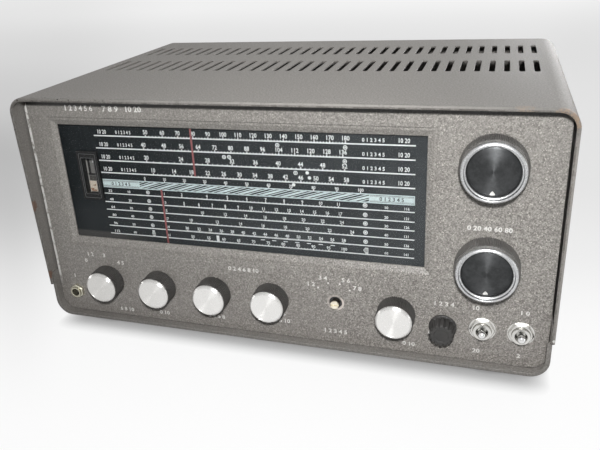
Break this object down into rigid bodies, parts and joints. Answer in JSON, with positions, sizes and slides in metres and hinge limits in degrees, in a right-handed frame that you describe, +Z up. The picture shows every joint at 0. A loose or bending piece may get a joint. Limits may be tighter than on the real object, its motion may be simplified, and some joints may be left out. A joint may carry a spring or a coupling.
{
  "type": "communications receiver",
  "caption": "Table-top communications receiver with a wide dial window, edgewise signal meter, tuning knobs, small control knobs, toggle switches and a vented steel cabinet.",
  "frame": {"origin": "on the table under the middle of the set, at the feet's underside", "axes": "+X to the right as seen from the front, +Y to the back, +Z up"},
  "size_m": [0.3836, 0.248, 0.19],
  "materials": {
    "cabinet_paint": "semi-gloss hammered paint, worn",
    "panel_paint": "satin paint",
    "rear_paint": "satin paint",
    "screw_steel": "nickel plated",
    "foot_rubber": "matt",
    "chassis_steel": "cadmium plated",
    "window_glass": "clear",
    "dial_print": "matt print",
    "lamp_glass": "clear",
    "pointer_red": "gloss",
    "cord_fabric": "waxed cord",
    "meter_black": "satin",
    "meter_cream": "matt",
    "needle_metal": "blackened",
    "knob_black": "semi-gloss moulding",
    "ring_chrome": "bright",
    "shaft_brass": "turned",
    "capacitor_metal": "plain",
    "cap_aluminium": "spun",
    "can_steel": "plated",
    "phenolic": "satin",
    "steatite": "glazed",
    "toggle_chrome": "bright",
    "nut_nickel": "nickel plated",
    "transformer_black": "gloss enamel",
    "tube_glass": "clear",
    "can_aluminium": "drawn"
  },
  "bodies": {
    "receiver": {"case_cover": "cabinet_paint", "bottom_tray": "cabinet_paint", "rear_panel": "rear_paint", "front_panel": "panel_paint", "cabinet_screws": "screw_steel", "rubber_feet": "foot_rubber", "chassis": "chassis_steel", "dial_glass": "window_glass", "dial_plate": "dial_print", "dial_bracket": "chassis_steel", "dial_lamps": "lamp_glass", "main_dial_cord": "cord_fabric", "spread_dial_cord": "cord_fabric", "meter_case": "meter_black", "meter_face": "meter_cream", "main_capacitor_frame": "capacitor_metal", "spread_capacitor_frame": "capacitor_metal", "control_bodies": "can_steel", "band_selector_switch": "phenolic", "antenna_trim_frame": "steatite", "toggle_switches": "phenolic", "panel_nuts": "nut_nickel", "phone_jack": "can_steel", "power_transformer": "transformer_black", "tubes": "tube_glass", "tube_sockets": "phenolic", "if_cans": "can_aluminium", "terminal_strip": "phenolic", "cord_grommet": "foot_rubber"},
    "main_tuning": {"main_tuning_knob": "knob_black", "main_tuning_ring": "ring_chrome", "main_tuning_shaft": "shaft_brass"},
    "band_spread": {"band_spread_knob": "knob_black", "band_spread_ring": "ring_chrome", "band_spread_shaft": "shaft_brass"},
    "main_capacitor": {"main_capacitor_rotor": "capacitor_metal"},
    "spread_capacitor": {"spread_capacitor_rotor": "capacitor_metal"},
    "main_dial_pointer": {"main_pointer": "pointer_red"},
    "spread_dial_pointer": {"spread_pointer": "pointer_red"},
    "function_control": {"function_knob": "knob_black", "function_cap": "cap_aluminium", "function_shaft": "shaft_brass"},
    "gain_control": {"gain_knob": "knob_black", "gain_cap": "cap_aluminium", "gain_shaft": "shaft_brass"},
    "selectivity_control": {"selectivity_knob": "knob_black", "selectivity_cap": "cap_aluminium", "selectivity_shaft": "shaft_brass"},
    "frequency_control": {"frequency_knob": "knob_black", "frequency_cap": "cap_aluminium", "frequency_shaft": "shaft_brass"},
    "volume_control": {"volume_knob": "knob_black", "volume_cap": "cap_aluminium", "volume_shaft": "shaft_brass"},
    "band_selector": {"band_selector_shaft": "shaft_brass"},
    "antenna_trimmer": {"antenna_trim_knob": "knob_black", "antenna_trim_rotor": "capacitor_metal"},
    "left_toggle": {"left_toggle_lever": "toggle_chrome"},
    "right_toggle": {"right_toggle_lever": "toggle_chrome"},
    "signal_needle": {"meter_needle": "needle_metal"}
  },
  "joints": [
    {"name": "main_tuning_turn", "type": "hinge", "parent": "receiver", "child": "main_tuning", "pos_m": [0.1458, -0.1075, 0.0838], "axis": [0, 1, 0], "range_deg": [-565.22, 1865.98]},
    {"name": "main_capacitor_turn", "type": "hinge", "parent": "receiver", "child": "main_capacitor", "pos_m": [0.05, -0.0925, 0.126], "axis": [0, 1, 0], "range_deg": [-41.9, 138.2]},
    {"name": "main_pointer_slide", "type": "slide", "parent": "receiver", "child": "main_dial_pointer", "axis": [1, 0, 0], "range_m": [-0.0366, 0.1206]},
    {"name": "band_spread_turn", "type": "hinge", "parent": "receiver", "child": "band_spread", "pos_m": [0.1458, -0.1075, 0.1513], "axis": [0, 1, 0], "range_deg": [-2315.06, 116.14]},
    {"name": "spread_capacitor_turn", "type": "hinge", "parent": "receiver", "child": "spread_capacitor", "pos_m": [-0.058, -0.0855, 0.126], "axis": [0, 1, 0], "range_deg": [-171.45, 8.65]},
    {"name": "spread_pointer_slide", "type": "slide", "parent": "receiver", "child": "spread_dial_pointer", "axis": [1, 0, 0], "range_m": [-0.0076, 0.1496]},
    {"name": "function_turn", "type": "hinge", "parent": "receiver", "child": "function_control", "pos_m": [-0.139, -0.1075, 0.041], "axis": [0, 1, 0], "range_deg": [-60, 60]},
    {"name": "gain_turn", "type": "hinge", "parent": "receiver", "child": "gain_control", "pos_m": [-0.0935, -0.1075, 0.041], "axis": [0, 1, 0], "range_deg": [-150, 150]},
    {"name": "selectivity_turn", "type": "hinge", "parent": "receiver", "child": "selectivity_control", "pos_m": [-0.048, -0.1075, 0.041], "axis": [0, 1, 0], "range_deg": [-75, 75]},
    {"name": "frequency_turn", "type": "hinge", "parent": "receiver", "child": "frequency_control", "pos_m": [-0.0025, -0.1075, 0.041], "axis": [0, 1, 0], "range_deg": [-150, 150]},
    {"name": "volume_turn", "type": "hinge", "parent": "receiver", "child": "volume_control", "pos_m": [0.0883, -0.1075, 0.041], "axis": [0, 1, 0], "range_deg": [-150, 150]},
    {"name": "band_selector_turn", "type": "hinge", "parent": "receiver", "child": "band_selector", "pos_m": [0.0452, -0.1075, 0.043], "axis": [0, 1, 0], "range_deg": [-45, 45]},
    {"name": "antenna_trim_turn", "type": "hinge", "parent": "receiver", "child": "antenna_trimmer", "pos_m": [0.1198, -0.1075, 0.0344], "axis": [0, 1, 0], "continuous": true},
    {"name": "left_toggle_tilt", "type": "hinge", "parent": "receiver", "child": "left_toggle", "pos_m": [0.1454, -0.1065, 0.0355], "axis": [1, 0, 0], "range_deg": [0, 24]},
    {"name": "right_toggle_tilt", "type": "hinge", "parent": "receiver", "child": "right_toggle", "pos_m": [0.1698, -0.1065, 0.0355], "axis": [1, 0, 0], "range_deg": [0, 24]},
    {"name": "meter_needle_swing", "type": "hinge", "parent": "receiver", "child": "signal_needle", "pos_m": [-0.1455, -0.0735, 0.1258], "axis": [1, 0, 0], "range_deg": [-25, 25], "stiffness_Nm_per_rad": 0.0001}
  ],
  "couplings": [
    {"joint": "main_capacitor_turn", "follows": "main_tuning_turn", "ratio": 0.074038},
    {"joint": "main_pointer_slide", "follows": "main_tuning_turn", "m_per_rad": 0.0037},
    {"joint": "spread_capacitor_turn", "follows": "band_spread_turn", "ratio": 0.074038},
    {"joint": "spread_pointer_slide", "follows": "band_spread_turn", "m_per_rad": -0.0037}
  ]
}
